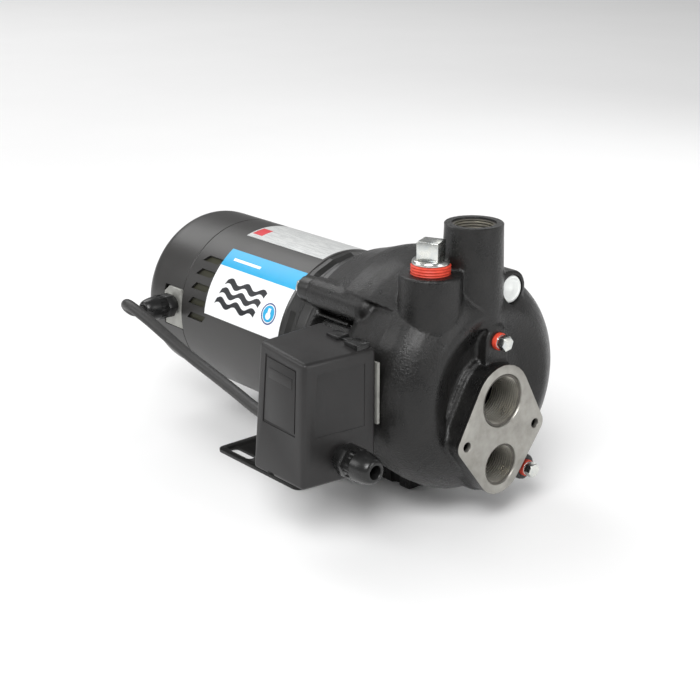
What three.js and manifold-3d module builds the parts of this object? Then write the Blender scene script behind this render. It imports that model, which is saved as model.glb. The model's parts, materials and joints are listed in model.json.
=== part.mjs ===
// Convertible shallow well jet pump: cast iron pump end, close coupled to a
// capacitor start motor, with a pressure switch on its left side and a pressed
// steel foot. Millimetres, +Z up, +X from the motor to the suction flange.
// The origin is the centre of the foot's underside, on the floor.
import * as THREE from 'three';
import { mergeVertices } from 'three/addons/utils/BufferGeometryUtils.js';
import { ConvexGeometry } from 'three/addons/geometries/ConvexGeometry.js';
import Module from 'manifold-3d';

const wasm = await Module();
wasm.setup();

// ---------------------------------------------------------------- dimensions
const AXIS_HEIGHT = 110; // motor and pump axis above the floor
const GAP = 0.3; // clearance between pieces that touch

const MOTOR = { rear: -182, seam: -121, front: 22, radius: 75.7, wall: 2.2 };
const STATOR = { rear: -75, front: 5, outer: 73.2, bore: 41.8 };
const RING = { rear: 40, front: 54, radius: 78, boltCircle: 84, earRadius: 11 };
const BOLT = { shank: 4.5, head: 7.6, headHeight: 5.4 };
const CASING = { rear: 54, neck: 70, drum: 91.5, rim: 154 };
const FLANGE = { face: 208, depth: 26, boltSpacing: 76.2, boltDrop: 34.5 };
const SUCTION = { drop: 5.9, bore: 19.4, mouth: 21.8, land: 29 };
const DRIVE = { drop: 59.5, bore: 15.3, mouth: 17, land: 24.6 };
const DISCHARGE = { x: 171.2, top: 129.5, bore: 15.3, mouth: 17, outer: 23 };
const PRIMING = { x: 167, y: -41, top: 96.5, bore: 15.9, outer: 24.5 };
const REGULATOR = { y: 27, z: 74.4, face: 188, bore: 11.8, outer: 15.5 };
const GAUGE = { y: 4, z: 39.5, face: 197, bore: 7.2, outer: 12.5 };
const DRAIN = { y: 45.4, z: -79.8, face: 193, bore: 7.2, outer: 11 };
const FOOT = { halfLength: 58, halfWidth: 85.65, thickness: 3 };
const SWITCH = { x: 134, z: 3, back: -95, front: -165, plate: -92.2 };
const LEAD = { diameter: 9.6, glandX: -134, glandZ: 7.5, glandEnd: -107.7 };

// Centre line of the lead from the motor gland to the switch gland.
const LEAD_ROUTE = [
  [-134, -108, 117.5],
  [-134, -112.5, 117.9],
  [-133.8, -117.5, 119.6],
  [-132.6, -122.6, 123.2],
  [-129, -127.4, 128],
  [-122, -130.6, 131],
  [-112.5, -131.8, 130.8],
  [-101, -131.6, 128.2],
  [-87, -130.4, 123.8],
  [-69, -128.6, 117],
  [-49, -126.8, 109.6],
  [-27, -125.6, 103],
  [-4, -125.4, 98],
  [18, -126.2, 94],
  [38, -127.6, 90.8],
  [56, -129.2, 88],
  [68, -129.9, 86.5],
  [76, -130, 86],
];

// ----------------------------------------------------------------- materials
const finish = (color, roughness, metalness) =>
  new THREE.MeshStandardMaterial({ color, roughness, metalness });

const blackEnamel = finish(0x232322, 0.4, 0.1);
const motorPaint = finish(0x484745, 0.5, 0.1);
const castIron = finish(0x1b1b1b, 0.45, 0.3);
const zinc = finish(0xc4c8c6, 0.35, 0.9);
const blackPlastic = finish(0x2c2c2d, 0.55, 0);
const rubber = finish(0x3b3b3a, 0.7, 0);
const sealant = finish(0xd8432f, 0.6, 0);
const whitePlastic = finish(0xe6e8e6, 0.45, 0);
const greyZinc = finish(0x9d9d98, 0.45, 0.6);
const steel = finish(0x8f9294, 0.3, 0.9);
const copper = finish(0xb0663a, 0.4, 0.8);
const aluminium = finish(0xa7a9a8, 0.45, 0.8);
const engineered = finish(0x2f3a46, 0.5, 0);
const ceramic = finish(0xe4dfd2, 0.3, 0);
const brass = finish(0xb08d3f, 0.35, 0.8);

// ------------------------------------------------------------ shape toolkit
function toSolid(geometry) {
  const bare = geometry.clone();
  bare.deleteAttribute('normal');
  bare.deleteAttribute('uv');
  const merged = mergeVertices(bare, 1e-4);
  const index = merged.index.array;
  const position = merged.attributes.position;
  const corner = [0, 1, 2].map(() => new THREE.Vector3());
  const triangles = [];
  let volume = 0;
  for (let i = 0; i < index.length; i += 3) {
    const [a, b, c] = [index[i], index[i + 1], index[i + 2]];
    if (a === b || b === c || c === a) continue;
    [a, b, c].forEach((v, k) => corner[k].fromBufferAttribute(position, v));
    volume += corner[0].dot(corner[1].cross(corner[2]));
    triangles.push(a, b, c);
  }
  if (volume < 0) triangles.reverse();
  return new wasm.Manifold(
    new wasm.Mesh({
      numProp: 3,
      vertProperties: new Float32Array(position.array),
      triVerts: new Uint32Array(triangles),
    }),
  );
}

function toGeometry(solid) {
  const mesh = solid.getMesh();
  const geometry = new THREE.BufferGeometry();
  geometry.setAttribute('position', new THREE.BufferAttribute(mesh.vertProperties, 3));
  geometry.setIndex(new THREE.BufferAttribute(mesh.triVerts, 1));
  return geometry;
}

const join = (...geometries) =>
  toGeometry(geometries.map(toSolid).reduce((sum, solid) => sum.add(solid)));

const cut = (body, ...tools) =>
  toGeometry(tools.map(toSolid).reduce((rest, tool) => rest.subtract(tool), toSolid(body)));

const overlap = (a, b) => toGeometry(toSolid(a).intersect(toSolid(b)));

// A solid of revolution about +X from a list of [x, radius] points.
function turned(profile, segments = 12) {
  const points = profile.map(([x, r]) => new THREE.Vector2(r, x));
  return new THREE.LatheGeometry(points, segments).rotateZ(-Math.PI / 2);
}

// The same, for a profile that closes on itself away from the axis.
const ringed = (profile, segments) => turned([...profile, profile[0]], segments);

const rod = (x0, x1, radius, segments = 10) =>
  turned([[x0, 0], [x0, radius], [x1, radius], [x1, 0]], segments);

const cone = (x0, r0, x1, r1, segments = 12) =>
  turned([[x0, 0], [x0, r0], [x1, r1], [x1, 0]], segments);

const tube = (x0, x1, outer, inner, segments = 12) =>
  ringed([[x0, outer], [x1, outer], [x1, inner], [x0, inner]], segments);

const upright = (geometry) => geometry.rotateY(-Math.PI / 2); // +X becomes +Z
const sideways = (geometry) => geometry.rotateZ(-Math.PI / 2); // +X becomes -Y

function block(x0, x1, y0, y1, z0, z1) {
  const box = new THREE.BoxGeometry(x1 - x0, y1 - y0, z1 - z0);
  return box.translate((x0 + x1) / 2, (y0 + y1) / 2, (z0 + z1) / 2);
}

function polygon(sides, radius, turn = 0) {
  const corners = Array.from({ length: sides }, (_, i) => {
    const angle = turn + (i * 2 * Math.PI) / sides;
    return new THREE.Vector2(radius * Math.cos(angle), radius * Math.sin(angle));
  });
  return new THREE.Shape(corners);
}

// Extrudes a shape drawn in Y and Z along X.
function along(shape, x0, x1, curveSegments = 8) {
  const options = { depth: x1 - x0, bevelEnabled: false, curveSegments };
  const turn = new THREE.Matrix4().makeBasis(
    new THREE.Vector3(0, 1, 0),
    new THREE.Vector3(0, 0, 1),
    new THREE.Vector3(1, 0, 0),
  );
  return new THREE.ExtrudeGeometry(shape, options).applyMatrix4(turn).translate(x0, 0, 0);
}

const hex = (x0, x1, radius, turn = 0) => along(polygon(6, radius, turn), x0, x1);

// The outline around circles [y, z, radius], given anticlockwise.
function outlineAround(circles) {
  const normals = circles.map(([y, z, radius], i) => {
    const [ny, nz, nextRadius] = circles[(i + 1) % circles.length];
    const heading = Math.atan2(nz - z, ny - y);
    const distance = Math.hypot(nz - z, ny - y);
    return heading - Math.acos((radius - nextRadius) / distance);
  });
  const shape = new THREE.Shape();
  circles.forEach(([y, z, radius], i) => {
    const start = normals[(i + circles.length - 1) % circles.length];
    shape.absarc(y, z, radius, start, normals[i], false);
  });
  return shape;
}

// A solid swept along a smooth line through the given points.
function swept(points, radius, sides, steps) {
  const path = new THREE.CatmullRomCurve3(points.map((p) => new THREE.Vector3(...p)));
  const options = { extrudePath: path, steps, bevelEnabled: false };
  return new THREE.ExtrudeGeometry(polygon(sides, radius), options);
}

function helix(x0, x1, radius, turns, wire) {
  const count = turns * 8;
  const points = Array.from({ length: count + 1 }, (_, i) => {
    const angle = (i / 8) * 2 * Math.PI;
    return [x0 + ((x1 - x0) * i) / count, radius * Math.cos(angle), radius * Math.sin(angle)];
  });
  return swept(points, wire, 5, count);
}

const quarterTurns = (firstDegrees) =>
  [0, 1, 2, 3].map((i) => THREE.MathUtils.degToRad(firstDegrees + 90 * i));

const around = (geometry, radius, angle) =>
  geometry.translate(0, radius * Math.cos(angle), radius * Math.sin(angle));

// ---------------------------------------------------------------- assembly
const pump = new THREE.Group();
const axis = new THREE.Group(); // everything placed from the pump's axis
axis.position.z = AXIS_HEIGHT;
pump.add(axis);

function part(parent, name, geometry, material, place = [0, 0, 0]) {
  const mesh = new THREE.Mesh(toGeometry(toSolid(geometry)), material);
  mesh.name = name;
  mesh.position.set(...place);
  parent.add(mesh);
  return mesh;
}

// ------------------------------------------------------------------- motor
function motorShell() {
  const inner = MOTOR.radius - MOTOR.wall;
  const shell = tube(MOTOR.seam, MOTOR.front, MOTOR.radius, inner, 24);
  const slots = [];
  for (const side of [-1, 1]) {
    for (let i = 0; i < 5; i += 1) {
      const slot = block(-111, -83, side < 0 ? -80 : 70, side < 0 ? -70 : 80, -3.2, 3.2);
      slots.push(slot.rotateX(side * -THREE.MathUtils.degToRad(-3 - 10.3 * i)));
    }
  }
  part(axis, 'motor_shell', cut(shell, ...slots), motorPaint);
}

function rearCap() {
  const outside = [
    [MOTOR.rear, 0],
    [MOTOR.rear, 62],
    [-179.6, 67.4],
    [-175, 71.6],
    [-168, 74.8],
    [-160, MOTOR.radius],
    [MOTOR.seam - GAP, MOTOR.radius],
  ];
  const inside = [
    [MOTOR.seam - GAP, 73.5],
    [-160, 73.5],
    [-167, 72.6],
    [-173.4, 69.6],
    [-177.6, 65.6],
    [-179.8, 60],
    [-179.8, 0],
  ];
  const cap = turned([...outside, ...inside], 24);
  const window = block(-149.3, MOTOR.seam + 1, -80, -62, -14.3, 23.3);
  part(axis, 'rear_cap', cut(cap, window, rod(-190, -170, 8)), motorPaint);
  const plug = join(rod(-184, -182.3, 11), rod(-182.4, -178, 7.6));
  part(axis, 'rear_access_plug', plug, blackPlastic);
}

function terminalPlate() {
  const outline = new THREE.Shape([
    [-149, -14], [-121.6, -14], [-121.6, 23], [-141, 23], [-149, 17],
  ].map(([x, z]) => new THREE.Vector2(x, z)));
  const plate = new THREE.ExtrudeGeometry(outline, { depth: 3.6, bevelEnabled: false });
  plate.rotateX(Math.PI / 2).translate(0, -70.7, 0);
  const hole = sideways(rod(60, 90, 7.8)).translate(LEAD.glandX, 0, LEAD.glandZ);
  part(axis, 'terminal_plate', cut(plate, hole), greyZinc);
}

// A cable gland lying along +X from its seat at x = 0: a hexagon body whose
// threaded spigot passes through the panel, and a domed nut.
function cableGland(prefix, seat, turn, panel, size, dome) {
  const place = (geometry) => turn(geometry).translate(...seat);
  const spigot = size * 0.64;
  const bodyLength = dome * 0.35;
  const body = cut(
    join(hex(GAP, bodyLength, size), rod(-panel - 4.2, bodyLength + 3, spigot)),
    rod(-30, 60, 5.2),
  );
  const nut = cut(
    join(
      hex(bodyLength + GAP, bodyLength + dome * 0.28, size),
      turned([
        [bodyLength + dome * 0.2, 0],
        [bodyLength + dome * 0.2, size * 0.93],
        [dome * 0.82, size * 0.9],
        [dome * 0.95, size * 0.74],
        [dome, size * 0.56],
        [dome, 0],
      ], 14),
    ),
    rod(bodyLength - 5, bodyLength + 3.4, spigot + GAP),
    rod(-30, 60, 5.2),
  );
  part(axis, `${prefix}_gland_body`, place(body), blackPlastic);
  part(axis, `${prefix}_gland_dome`, place(nut), blackPlastic);
}

function motorInside() {
  const bolts = quarterTurns(45).map((angle) => around(rod(-130, 60, 3.6), 70.6, angle));
  const core = tube(STATOR.rear, STATOR.front, STATOR.outer, STATOR.bore, 24);
  part(axis, 'stator_core', cut(core, ...bolts), steel);
  part(axis, 'rear_winding', tube(-95, STATOR.rear - GAP, 62, 46), copper);
  part(axis, 'front_winding', tube(STATOR.front + GAP, 20, 62, 46), copper);
  part(axis, 'rotor_core', tube(STATOR.rear, STATOR.front, 41, 9.3, 20), steel);
  const shaft = turned([
    [-140, 0], [-140, 7], [-103, 7], [-103, 9], [23.5, 9], [23.5, 8], [79, 8], [79, 6], [99, 5.9],
    [99, 0],
  ]);
  part(axis, 'motor_shaft', shaft, steel);
  part(axis, 'rear_bearing', tube(-115.7, -104.3, 13, 7.3), steel);
  part(axis, 'front_bearing', tube(24.3, 36.2, 16, 8.3), steel);
  const blades = [0, 1, 2, 3, 4, 5, 6, 7].map((i) =>
    block(-101.9, -97, 11, 58, -0.8, 0.8).rotateX((i * Math.PI) / 4));
  part(axis, 'cooling_fan', join(tube(-102.6, -97, 16, 9.3), ...blades), blackPlastic);
  part(axis, 'governor_spool', ringed([
    [-138, 13], [-135, 13], [-133, 10], [-129, 10], [-127, 14], [-124, 14], [-124, 7.4], [-138, 7.4],
  ], 14), blackPlastic);
  const can = sideways(rod(-30, 30, 16, 14)).translate(-152, 0, 41);
  part(axis, 'start_capacitor', can, blackPlastic);
}

function motorBells() {
  const rear = ringed([
    [-120.7, 73.2], [-112, 73.2], [-112, 65], [-117, 64], [-117, 22], [-104, 20], [-104, 13.3],
    [-116, 13.3], [-116, 9.5], [-120.7, 9.5],
  ], 24);
  const front = ringed([
    [MOTOR.front + GAP, 75.7], [27, 75.7], [32, 73.5], [39.7, 73.5], [39.7, 12], [36.5, 12],
    [36.5, 16.3], [24, 16.3], [24, 22], [33, 24], [33, 64], [MOTOR.front + GAP, 65],
  ], 24);
  const rearHoles = quarterTurns(45).map((angle) => around(rod(-125, -100, 2.8, 8), 69.8, angle));
  const frontHoles = quarterTurns(45).map((angle) => around(rod(20, 34, 2.8, 8), 69.8, angle));
  part(axis, 'rear_bell', cut(rear, ...rearHoles), aluminium);
  part(axis, 'front_bell', cut(front, ...frontHoles), blackEnamel);
  quarterTurns(45).forEach((angle, i) => {
    const bolt = join(hex(-124.4, -121, 3.2), rod(-121.2, 32, 2.4, 10));
    part(axis, `through_bolt_${i + 1}`, around(bolt, 69.8, angle), zinc);
  });
}

// ------------------------------------------------------------ mounting ring
const boltAngles = quarterTurns(45);
const isLower = (angle) => Math.sin(angle) < 0;

function mountingRing() {
  const ears = boltAngles.map((angle) =>
    around(rod(RING.rear, RING.front, RING.earRadius, 12), RING.boltCircle, angle));
  const necks = boltAngles.map((angle) =>
    block(RING.rear, RING.front, 60, RING.boltCircle, -9.5, 9.5).rotateX(angle));
  const disc = rod(RING.rear, RING.front, RING.radius, 24);
  const holes = boltAngles.map((angle) => around(rod(30, 60, 5, 10), RING.boltCircle, angle));
  const ring = cut(join(disc, ...ears, ...necks), rod(30, 60, 30, 16), ...holes);
  part(axis, 'mounting_ring', ring, blackEnamel);
  boltAngles.forEach((angle, i) => {
    const seat = (isLower(angle) ? RING.rear - FOOT.thickness - GAP : RING.rear) - GAP;
    const head = hex(seat - BOLT.headHeight, seat, BOLT.head, angle);
    const bolt = join(head, rod(seat - 1, 75, BOLT.shank, 8));
    part(axis, `ring_bolt_${i + 1}`, around(bolt, RING.boltCircle, angle), zinc);
  });
}

// ------------------------------------------------------------------ casing
function flangeOutline() {
  const half = FLANGE.boltSpacing / 2;
  return outlineAround([
    [half, -FLANGE.boltDrop, 9.5],
    [0, -SUCTION.drop, SUCTION.land],
    [-half, -FLANGE.boltDrop, 9.5],
    [0, -DRIVE.drop, DRIVE.land],
  ]);
}

function casingBody() {
  const drum = turned([
    [CASING.rear, 0], [CASING.rear, 80], [60, 80], [64, CASING.neck], [96, CASING.neck],
    [106, 80], [118, 87.5], [136, 90.5], [CASING.rim, CASING.drum], [166, 91], [172, 89.3],
    [178, 86], [184, 81.2], [190, 74.5], [194, 68], [195, 62], [193, 55], [189, 47], [186, 40],
    [186, 0],
  ], 28);
  const crown = turned([
    [CASING.rear, 0], [CASING.rear, 84.5], [64, 87.2], [76, 90.8], [88, 94.8], [98, 97.2],
    [112, 98.3], [126, 97.5], [140, 95], [CASING.rim, CASING.drum], [CASING.rim, 0],
  ], 28);
  const wedge = along(new THREE.Shape([
    new THREE.Vector2(0, 20), new THREE.Vector2(92, 120), new THREE.Vector2(-92, 120),
  ]), 50, 160);
  const arms = boltAngles.map((angle) => around(turned([
    [CASING.rear, 0], [CASING.rear, 12.5], [116, 12.5], [122, 10.6], [126, 7], [128, 0],
  ], 12), RING.boltCircle, angle));
  const footWeb = block(82.6, 118.4, -14, 14, -AXIS_HEIGHT, -60);
  return join(drum, overlap(crown, wedge), ...arms, footWeb);
}

function casingBosses() {
  return [
    along(flangeOutline(), FLANGE.face - FLANGE.depth, FLANGE.face, 6),
    upright(cone(50, 24.5, DISCHARGE.top, DISCHARGE.outer, 20)).translate(DISCHARGE.x, 0, 0),
    upright(rod(40, PRIMING.top, PRIMING.outer, 20)).translate(PRIMING.x, PRIMING.y, 0),
    rod(135, REGULATOR.face, REGULATOR.outer, 14).translate(0, REGULATOR.y, REGULATOR.z),
    rod(170, GAUGE.face, GAUGE.outer, 14).translate(0, GAUGE.y, GAUGE.z),
    block(175, GAUGE.face, GAUGE.y - 12.5, GAUGE.y + 12.5, 0, GAUGE.z),
    rod(150, DRAIN.face, DRAIN.outer, 14).translate(0, DRAIN.y, DRAIN.z),
  ];
}

function casingHollow() {
  return turned([
    [CASING.rear - 1, 0], [CASING.rear - 1, 66], [65.3, 66], [65.3, 61], [104, 61], [112, 70],
    [122, 78], [150, 80], [162, 80], [170, 77], [176, 68], [178, 60], [178, 0],
  ], 24);
}

function casingBores() {
  const boltHole = (side) => rod(188, 220, 4, 8)
    .translate(0, (side * FLANGE.boltSpacing) / 2, -FLANGE.boltDrop);
  const notch = (side) => upright(rod(-AXIS_HEIGHT - 5, -90, 5.5, 10))
    .translate(100.5, side * 14, 0);
  return [
    rod(105, 220, SUCTION.bore, 16).translate(0, 0, -SUCTION.drop),
    cone(FLANGE.face - 4, SUCTION.bore, FLANGE.face + 0.5, SUCTION.mouth + 0.2, 16)
      .translate(0, 0, -SUCTION.drop),
    rod(160, 220, DRIVE.bore, 16).translate(0, 0, -DRIVE.drop),
    cone(FLANGE.face - 4, DRIVE.bore, FLANGE.face + 0.5, DRIVE.mouth + 0.2, 16)
      .translate(0, 0, -DRIVE.drop),
    upright(rod(55, 140, DISCHARGE.bore, 16)).translate(DISCHARGE.x, 0, 0),
    upright(cone(DISCHARGE.top - 4, DISCHARGE.bore, DISCHARGE.top + 0.5, DISCHARGE.mouth + 0.2, 16))
      .translate(DISCHARGE.x, 0, 0),
    upright(rod(50, 110, PRIMING.bore, 16)).translate(PRIMING.x, PRIMING.y, 0),
    rod(172, 200, REGULATOR.bore, 14).translate(0, REGULATOR.y, REGULATOR.z),
    rod(172, 210, GAUGE.bore, 12).translate(0, GAUGE.y, GAUGE.z),
    rod(177, 210, DRAIN.bore, 12).translate(0, DRAIN.y, DRAIN.z),
    boltHole(-1),
    boltHole(1),
    notch(-1),
    notch(1),
    sideways(rod(84.2, 110, 23.5, 16)).translate(SWITCH.x, 0, SWITCH.z),
    sideways(rod(60, 90, 7.1, 10)).translate(SWITCH.x, 0, SWITCH.z),
    ...boltAngles.map((angle) => around(rod(50, 78, 5, 8), RING.boltCircle, angle)),
  ];
}

function pumpCasing() {
  const suctionTube = rod(112.3, 182, 25, 16).translate(0, 0, -SUCTION.drop);
  const switchBoss = sideways(rod(66, 86, 12, 12)).translate(SWITCH.x, 0, SWITCH.z);
  const outside = join(casingBody(), ...casingBosses());
  const hollow = join(cut(outside, casingHollow()), suctionTube, switchBoss);
  part(axis, 'pump_casing', cut(hollow, ...casingBores()), castIron);
}

function pumpInside() {
  part(axis, 'seal_plate', ringed([
    [54.3, 11], [54.3, 65.7], [61.7, 65.7], [61.7, 28], [67, 26], [67, 16.3], [60, 16.3], [60, 11],
  ], 24), castIron);
  part(axis, 'casing_gasket', tube(62, 65, 65.5, 61.5, 24), rubber);
  part(axis, 'seal_seat', tube(60.3, 67, 16, 9.5), ceramic);
  part(axis, 'seal_head', tube(67.3, 72, 15, 8.3), rubber);
  part(axis, 'seal_spring', helix(73.6, 78.4, 11, 2, 0.9), steel);
  const vanes = [0, 1, 2, 3, 4, 5].map((i) => {
    const vane = tube(86, 94.5, 36, 33.6, 16).translate(0, 0, 22);
    const half = block(80, 100, 2, 60, 14, 60);
    return overlap(overlap(vane, half), tube(80, 100, 55.5, 21, 16)).rotateX((i * Math.PI) / 3);
  });
  const impeller = cut(
    join(
      rod(79.5, 96, 13, 14),
      rod(84, 86.5, 56, 20),
      tube(94, 96, 56, 20.5, 20),
      ...vanes,
    ),
    rod(70, 100, 6.3),
  );
  part(axis, 'impeller', impeller, engineered);
  part(axis, 'diffuser', ringed([
    [98.5, 20.5], [98.5, 57.5], [88, 57.5], [88, 60.5], [103, 60.5], [103, 25], [112, 24],
    [112, 20.5],
  ], 20), engineered);
}

// ------------------------------------------------------------------- plugs
function primingPlug() {
  const at = (geometry) => upright(geometry).translate(PRIMING.x, PRIMING.y, 0);
  const squareTurn = THREE.MathUtils.degToRad(45 + 25);
  const head = along(polygon(4, 17.3 / Math.SQRT2, squareTurn), 106.5, 121.5);
  const plug = join(rod(80, 104, 14.2, 16), cone(103.8, 14.9, 107.2, 14.2, 16), head);
  part(axis, 'priming_plug', at(plug), zinc);
  part(axis, 'priming_plug_sealant', at(tube(88, 103.5, 15.5, 14.5, 16)), sealant);
}

function hexPlug(name, port) {
  const at = (geometry) => geometry.translate(0, port.y, port.z);
  const body = rod(port.face - 12, port.face + 4.2, 5.9, 10);
  const head = hex(port.face + 4, port.face + 10.5, 6.5);
  part(axis, name, at(join(body, head)), zinc);
  part(axis, `${name}_sealant`, at(tube(port.face - 9, port.face + 3.7, 6.9, 6.2, 12)), sealant);
}

function regulatorCap() {
  const cap = join(rod(176, 186.8, 11.2, 14), rod(186, 187.6, 9.6, 14));
  part(axis, 'regulator_port_cap', cap.translate(0, REGULATOR.y, REGULATOR.z), whitePlastic);
}

// --------------------------------------------------------- pressure switch
// The cover's corners, from its open back to its smaller front, which leans back.
function coverCorners(inset, back) {
  const from = (x, y, z) => new THREE.Vector3(x, y, z);
  return [
    from(101.6 + inset, back, -52 + inset),
    from(166.6 - inset, back, -52 + inset),
    from(101.6 + inset, back, 53 - inset),
    from(166.6 - inset, back, 48 - inset),
    from(104 + inset, SWITCH.front + inset, -49 + inset),
    from(164 - inset, SWITCH.front + inset, -49.5 + inset),
    from(107.6 + inset, SWITCH.front + 6 + inset, 53 - inset),
    from(160.9 - inset, SWITCH.front + 6 + inset, 47.6 - inset),
  ];
}

const FRONT_GLAND = { y: -129, z: -30.5, length: 38.4 };
const LEAD_GLAND = { y: -130, z: -24, length: 26 };

function switchCover() {
  const cover = new ConvexGeometry(coverCorners(0, SWITCH.back));
  const inside = new ConvexGeometry(coverCorners(2.4, SWITCH.back + 5));
  const latch = block(148, 163, -110, -98, 44, 51.5);
  const frontHole = rod(150, 180, 8.7).translate(0, FRONT_GLAND.y, FRONT_GLAND.z);
  const leadHole = rod(90, 115, 7.8).translate(0, LEAD_GLAND.y, LEAD_GLAND.z);
  part(axis, 'switch_cover', cut(join(cover, latch), inside, frontHole, leadHole), blackPlastic);
}

function switchInside() {
  const back = SWITCH.plate;
  const port = (geometry) => sideways(geometry).translate(SWITCH.x, 0, SWITCH.z);
  part(axis, 'switch_nipple', port(tube(68, 90.5, 6.8, 4.2, 10)), steel);
  part(axis, 'switch_diaphragm', port(cut(rod(84.5, 91.9, 22, 16), rod(80, 90.8, 7.1))), greyZinc);
  const plate = join(
    block(101.8, 167.2, back - 2.4, back, -13, 36),
    block(106, 162, back - 4.8, back - 1.2, -47, 43),
  );
  part(axis, 'switch_base', plate, greyZinc);
  const inner = back - 4.8 - GAP;
  part(axis, 'contact_block', block(112, 156, inner - 28, inner, -42, 6), blackPlastic);
  const stud = (geometry) => sideways(geometry).translate(SWITCH.x, 0, 26);
  part(axis, 'range_stud', stud(rod(-inner, 152, 2.6, 8)), zinc);
  const lever = cut(block(116, 152, -107.4, -105.4, 9, 42), stud(rod(90, 120, 4)));
  part(axis, 'contact_lever', lever, zinc);
  part(axis, 'range_spring', stud(helix(109.4, 138, 8, 4, 1.2)), steel);
  part(axis, 'range_nut', stud(cut(hex(139.6, 145, 6), rod(130, 150, 2.9, 8))), brass);
}

// -------------------------------------------------------------------- foot
function footPlate() {
  const { halfLength, halfWidth, thickness } = FOOT;
  const plate = block(-halfLength, halfLength, -halfWidth, halfWidth, 0, thickness);
  const slot = (x, side) => join(
    block(x, x + 22, side * 75 - 4.5, side * 75 + 4.5, -5, 10),
    upright(rod(-5, 10, 4.5, 10)).translate(x, side * 75, 0),
    upright(rod(-5, 10, 4.5, 10)).translate(x + 22, side * 75, 0),
  );
  const slots = [-1, 1].flatMap((side) => [slot(-44, side), slot(22, side)]);
  const holes = [-1, 1].map((side) => upright(rod(-5, 10, 4.2, 8)).translate(22, side * 48, 0));
  part(pump, 'base_plate', cut(plate, ...slots, ...holes), blackEnamel);
}

// The angle bracket that carries the ring's two lower bolts.
function footBracket() {
  const { thickness } = FOOT;
  const low = thickness + GAP;
  const face = RING.rear - GAP;
  const upstand = block(face - thickness, face, -74, 74, low, 64);
  const sole = block(8, face, -60, 60, low, low + thickness);
  const saddle = rod(0, 60, 78.2, 24).translate(0, 0, AXIS_HEIGHT);
  const boltHoles = boltAngles.filter(isLower).map((angle) =>
    around(rod(30, 45, 5, 8), RING.boltCircle, angle).translate(0, 0, AXIS_HEIGHT));
  const soleHoles = [-1, 1].map((side) =>
    upright(rod(0, 20, 4.2, 8)).translate(22, side * 48, 0));
  const bracket = cut(join(upstand, sole), saddle, ...boltHoles, ...soleHoles);
  part(pump, 'foot_bracket', bracket, blackEnamel);
  [-1, 1].forEach((side, i) => {
    const seat = low + thickness + GAP;
    const bolt = join(upright(hex(seat, seat + 4.5, 6.8)), upright(rod(0.4, seat + 1, 3.8, 8)));
    part(pump, `foot_bolt_${i + 1}`, bolt.translate(22, side * 48, 0), zinc);
  });
}

// -------------------------------------------------------------------- lead
function motorLead() {
  part(pump, 'motor_lead', swept(LEAD_ROUTE, LEAD.diameter / 2, 8, 26), rubber);
}

motorShell();
rearCap();
terminalPlate();
cableGland('motor', [LEAD.glandX, -74.3, LEAD.glandZ], sideways, 3.6, 11.5, -LEAD.glandEnd - 74.3);
motorInside();
motorBells();
mountingRing();
pumpCasing();
pumpInside();
primingPlug();
hexPlug('gauge_plug', GAUGE);
hexPlug('drain_plug', DRAIN);
regulatorCap();
switchCover();
cableGland('switch', [166, FRONT_GLAND.y, FRONT_GLAND.z], (g) => g, 3.6, 13, FRONT_GLAND.length);
cableGland('lead', [102.6, LEAD_GLAND.y, LEAD_GLAND.z], (g) => g.rotateZ(Math.PI), 3.6, 11.5,
  LEAD_GLAND.length);
switchInside();
footPlate();
footBracket();
motorLead();

export default pump;
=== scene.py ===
"""Looks of the shallow well jet pump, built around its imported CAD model.

Shapes are drawn in millimetres in the frame's own axes, with X along the motor
and pump axis, and are scaled to metres when each piece is made.
"""
import json
import math

import bmesh
import bpy
from mathutils import Matrix, Vector


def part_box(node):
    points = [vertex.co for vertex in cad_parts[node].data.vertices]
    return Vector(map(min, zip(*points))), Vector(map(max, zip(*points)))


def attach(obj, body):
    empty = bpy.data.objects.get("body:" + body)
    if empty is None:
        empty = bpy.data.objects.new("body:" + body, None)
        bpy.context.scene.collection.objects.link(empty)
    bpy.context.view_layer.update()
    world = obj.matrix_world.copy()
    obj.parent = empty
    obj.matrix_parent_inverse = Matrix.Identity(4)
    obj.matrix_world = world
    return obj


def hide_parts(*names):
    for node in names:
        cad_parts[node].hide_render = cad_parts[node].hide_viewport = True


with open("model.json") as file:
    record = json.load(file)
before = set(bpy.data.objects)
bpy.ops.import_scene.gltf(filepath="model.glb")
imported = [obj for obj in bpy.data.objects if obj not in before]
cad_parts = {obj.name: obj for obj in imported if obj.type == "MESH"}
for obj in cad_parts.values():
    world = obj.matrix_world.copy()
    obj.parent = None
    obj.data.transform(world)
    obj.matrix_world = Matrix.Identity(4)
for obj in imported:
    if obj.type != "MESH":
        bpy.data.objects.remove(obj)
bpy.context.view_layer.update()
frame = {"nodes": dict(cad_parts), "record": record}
MM = 0.001
ROOT = "pump_body"


def node_box(node):
    """The lowest and highest corner of a CAD node, in millimetres."""
    low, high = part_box(node)
    return low / MM, high / MM


# Places and sizes read from the frame.
SHELL_LOW, SHELL_HIGH = node_box("motor_shell")
AXIS_Z = (SHELL_LOW.z + SHELL_HIGH.z) / 2
SHELL_R = (SHELL_HIGH.z - SHELL_LOW.z) / 2
CASING_HIGH = node_box("pump_casing")[1]
FLANGE_X = CASING_HIGH.x
DISCHARGE_TOP = CASING_HIGH.z
CAP_LOW, CAP_HIGH = node_box("rear_cap")
RING_LOW, RING_HIGH = node_box("mounting_ring")
PLATE_LOW, PLATE_HIGH = node_box("base_plate")
PRIMING_LOW, PRIMING_HIGH = node_box("priming_plug")
PRIMING = (PRIMING_LOW + PRIMING_HIGH) / 2

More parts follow.
